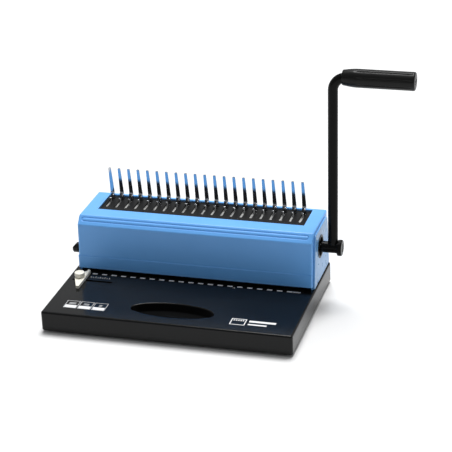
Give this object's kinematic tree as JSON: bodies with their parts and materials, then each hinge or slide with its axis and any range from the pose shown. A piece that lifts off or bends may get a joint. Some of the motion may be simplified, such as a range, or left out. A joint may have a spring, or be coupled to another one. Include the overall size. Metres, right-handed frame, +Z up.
{
  "type": "comb binding machine",
  "caption": "Manual comb binding machine: flat base with finger recess, edge guide and chip drawer, a punch housing with comb-opening tines and hooks on top, and a bent side lever with a grip.",
  "frame": {"origin": "middle of the machine's footprint box on the table, at the underside of the rubber feet", "axes": "+X along the comb row to the lever side, +Y from the finger recess to the rear, +Z up"},
  "size_m": [0.4866, 0.234, 0.3404],
  "materials": {
    "base_paint": "satin dark navy-black powder coat",
    "recess_liner": "matte black moulded liner",
    "bottom_steel": "matte black painted sheet",
    "foot_rubber": "matte black",
    "screw_zinc": "bright zinc",
    "drawer_plastic": "fine-grained black",
    "frame_zinc": "zinc-plated sheet steel",
    "die_steel": "ground steel",
    "bush_bronze": "sintered bronze",
    "drive_steel": "machined steel",
    "punch_steel": "ground and polished",
    "spring_steel": "drawn spring wire",
    "lever_black": "semi-gloss black",
    "grip_rubber": "satin black fluted",
    "black_plastic": "fine-grained black",
    "comb_plate_paint": "satin black",
    "comb_chrome": "polished chrome",
    "cover_paint": "satin steel-blue powder coat",
    "cheek_plastic": "fine-grained pale blue-grey",
    "guide_ivory": "satin ivory"
  },
  "bodies": {
    "machine": {"base_shell": "base_paint", "recess_cup": "recess_liner", "bottom_plate": "bottom_steel", "rubber_feet": "foot_rubber", "base_screws": "screw_zinc", "drawer_rail_front": "frame_zinc", "drawer_rail_rear": "frame_zinc", "die_plate": "die_steel", "guide_block": "die_steel", "side_frame_left": "frame_zinc", "side_frame_right": "frame_zinc", "shaft_bush_left": "bush_bronze", "shaft_bush_right": "bush_bronze", "frame_screws": "screw_zinc", "guide_screws": "screw_zinc", "rear_bracket": "frame_zinc", "guide_post_left": "punch_steel", "guide_post_right": "punch_steel", "return_spring_left": "spring_steel", "return_spring_right": "spring_steel", "comb_plate": "comb_plate_paint", "tine_rail": "drive_steel", "tine_tabs": "comb_chrome", "tines": "comb_chrome", "hook_rail_left": "frame_zinc", "hook_rail_right": "frame_zinc", "top_cover": "cover_paint", "cover_screws": "screw_zinc", "cheek_left": "cheek_plastic", "cheek_right": "cheek_plastic"},
    "lever": {"main_shaft": "punch_steel", "retaining_clip": "drive_steel", "drive_crank_left": "drive_steel", "drive_crank_right": "drive_steel", "lever_hub": "lever_black", "lever_end_cap": "lever_black", "lever_arm": "lever_black", "handle_grip": "grip_rubber", "grip_plug": "black_plastic"},
    "punch_unit": {"punch_bar": "drive_steel", "punches": "punch_steel", "punch_yoke_left": "drive_steel", "punch_yoke_right": "drive_steel"},
    "hook_unit": {"hook_plate": "comb_chrome", "hooks": "comb_chrome", "hook_yoke_left": "drive_steel", "hook_yoke_right": "drive_steel"},
    "guide": {"edge_guide": "guide_ivory", "guide_clamp": "frame_zinc"},
    "guide_knob": {"edge_guide_knob": "guide_ivory"},
    "margin": {"margin_shaft": "punch_steel", "margin_knob": "black_plastic"},
    "stop": {"depth_stop": "frame_zinc"},
    "drawer": {"chip_drawer": "drawer_plastic"}
  },
  "joints": [
    {"name": "lever_hinge", "type": "hinge", "parent": "machine", "child": "lever", "pos_m": [0.1313, 0.061, 0.081], "axis": [1, 0, 0], "range_deg": [0, 75], "stiffness_Nm_per_rad": 0.6, "springref_deg": -17.19},
    {"name": "punch_slide", "type": "slide", "parent": "machine", "child": "punch_unit", "axis": [0, 0, 1], "range_m": [-0.0121, 0], "deforming": ["return_spring_left", "return_spring_right"]},
    {"name": "hook_slide", "type": "slide", "parent": "machine", "child": "hook_unit", "axis": [0, 1, 0], "range_m": [-0.0171, 0]},
    {"name": "guide_slide", "type": "slide", "parent": "machine", "child": "guide", "axis": [1, 0, 0], "range_m": [-0.005, 0.036]},
    {"name": "guide_knob_turn", "type": "hinge", "parent": "guide", "child": "guide_knob", "pos_m": [-0.2198, -0.012, 0.04], "axis": [0, 0, 1], "range_deg": [0, 180]},
    {"name": "margin_turn", "type": "hinge", "parent": "machine", "child": "margin", "pos_m": [-0.2383, 0.033, 0.0605], "axis": [1, 0, 0], "range_deg": [-90, 90]},
    {"name": "stop_slide", "type": "slide", "parent": "machine", "child": "stop", "axis": [0, 1, 0], "range_m": [-0.0012, 0.0012]},
    {"name": "drawer_slide", "type": "slide", "parent": "machine", "child": "drawer", "axis": [-1, 0, 0], "range_m": [0, 0.24]}
  ],
  "couplings": [
    {"joint": "punch_slide", "follows": "lever_hinge", "m_per_rad": -0.0091673},
    {"joint": "hook_slide", "follows": "lever_hinge", "m_per_rad": -0.012987},
    {"joint": "margin_turn", "follows": "stop_slide", "rad_per_m": -1309}
  ]
}
